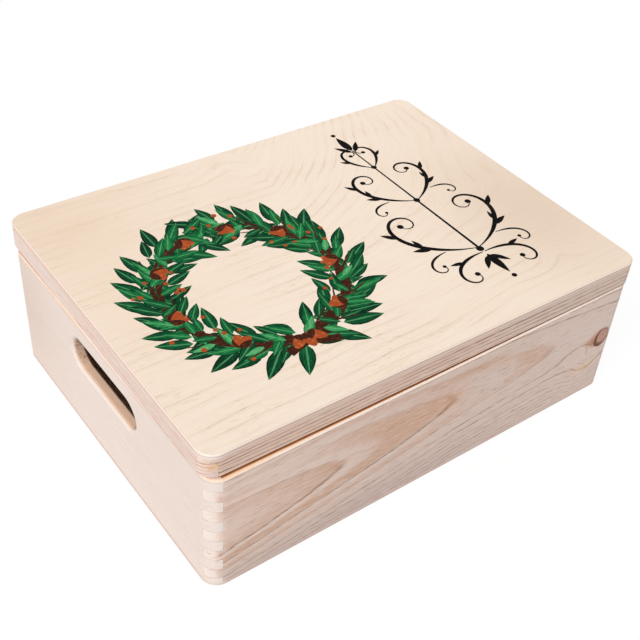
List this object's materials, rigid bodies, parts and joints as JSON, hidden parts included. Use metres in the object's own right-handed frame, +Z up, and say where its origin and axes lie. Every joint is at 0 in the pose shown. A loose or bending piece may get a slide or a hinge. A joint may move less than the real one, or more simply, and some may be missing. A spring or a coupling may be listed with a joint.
{
  "type": "keepsake box",
  "caption": "Finger-jointed pine box for papers and keepsakes, with a hand hole in each end and a shallow hinged lid with a plywood top.",
  "frame": {"origin": "middle of the underside of the bottom panel, on the surface that the box stands on", "axes": "+X along the box's length to the right as the front is faced, +Y from the front to the hinged back, +Z up"},
  "size_m": [0.4022, 0.3072, 0.1337],
  "materials": {
    "pine": "bare sanded pine, matt, with visible growth lines and end grain at the joints",
    "plywood": "bare sanded pale plywood, matt",
    "hinge_brass": "bright brass-plated sheet",
    "screw_brass": "brass-plated, slotted countersunk head"
  },
  "bodies": {
    "base": {"bottom_panel": "plywood", "front_wall": "pine", "back_wall": "pine", "left_wall": "pine", "right_wall": "pine", "hinge_left_base_leaf": "hinge_brass", "hinge_left_pin": "hinge_brass", "hinge_right_base_leaf": "hinge_brass", "hinge_right_pin": "hinge_brass", "hinge_base_screws": "screw_brass"},
    "lid": {"lid_front_rail": "pine", "lid_back_rail": "pine", "lid_left_rail": "pine", "lid_right_rail": "pine", "lid_top_panel": "plywood", "hinge_left_lid_leaf": "hinge_brass", "hinge_right_lid_leaf": "hinge_brass", "hinge_lid_screws": "screw_brass"}
  },
  "joints": [
    {"name": "lid_hinge", "type": "hinge", "parent": "base", "child": "lid", "pos_m": [0, 0.15605, 0.11062], "axis": [-1, 0, 0], "range_deg": [0, 180]}
  ]
}
